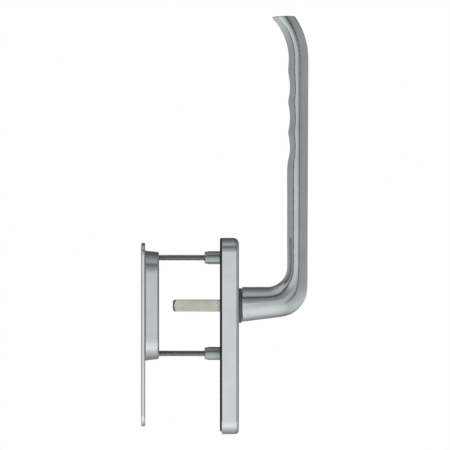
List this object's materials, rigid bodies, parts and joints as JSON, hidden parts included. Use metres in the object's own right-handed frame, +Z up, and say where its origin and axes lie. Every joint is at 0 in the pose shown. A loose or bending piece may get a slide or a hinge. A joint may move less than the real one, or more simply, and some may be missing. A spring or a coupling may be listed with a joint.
{
  "type": "lift and slide door handle",
  "caption": "Handle set for a lift and slide door: long lever on a narrow plate inside, flat pull with a finger cup outside, joined through the door by screws and a square spindle.",
  "frame": {"origin": "where the spindle's axis meets the door's inner face", "axes": "+X along the spindle into the room, +Z up along the lever on a closed door, +Y across the door"},
  "size_m": [0.1397, 0.041, 0.3492],
  "materials": {
    "anodised_silver": "satin silver anodised",
    "guide_collar": "grey, low sheen",
    "bush_plastic": "natural, low sheen",
    "black_underlay": "black, low sheen",
    "cast_zinc": "as cast, grey",
    "plated_spindle": "zinc plated, pale",
    "dark_screw": "dark plated steel",
    "spring_steel": "dark phosphated",
    "plated_washer": "bright plated"
  },
  "bodies": {
    "plates": {"base_plate": "cast_zinc", "cover_plate": "anodised_silver", "underlay": "black_underlay", "neck_collar": "guide_collar", "bearing_bush": "bush_plastic", "thrust_washer": "plated_washer", "disc_spring": "spring_steel", "upper_screw": "dark_screw", "lower_screw": "dark_screw", "outer_pull": "anodised_silver"},
    "lever": {"lever_handle": "anodised_silver", "spindle": "plated_spindle", "spindle_pin": "spring_steel", "retaining_ring": "spring_steel"}
  },
  "joints": [
    {"name": "lever_turn", "type": "hinge", "parent": "plates", "child": "lever", "pos_m": [0, 0, 0], "axis": [1, 0, 0], "range_deg": [0, 180]}
  ]
}
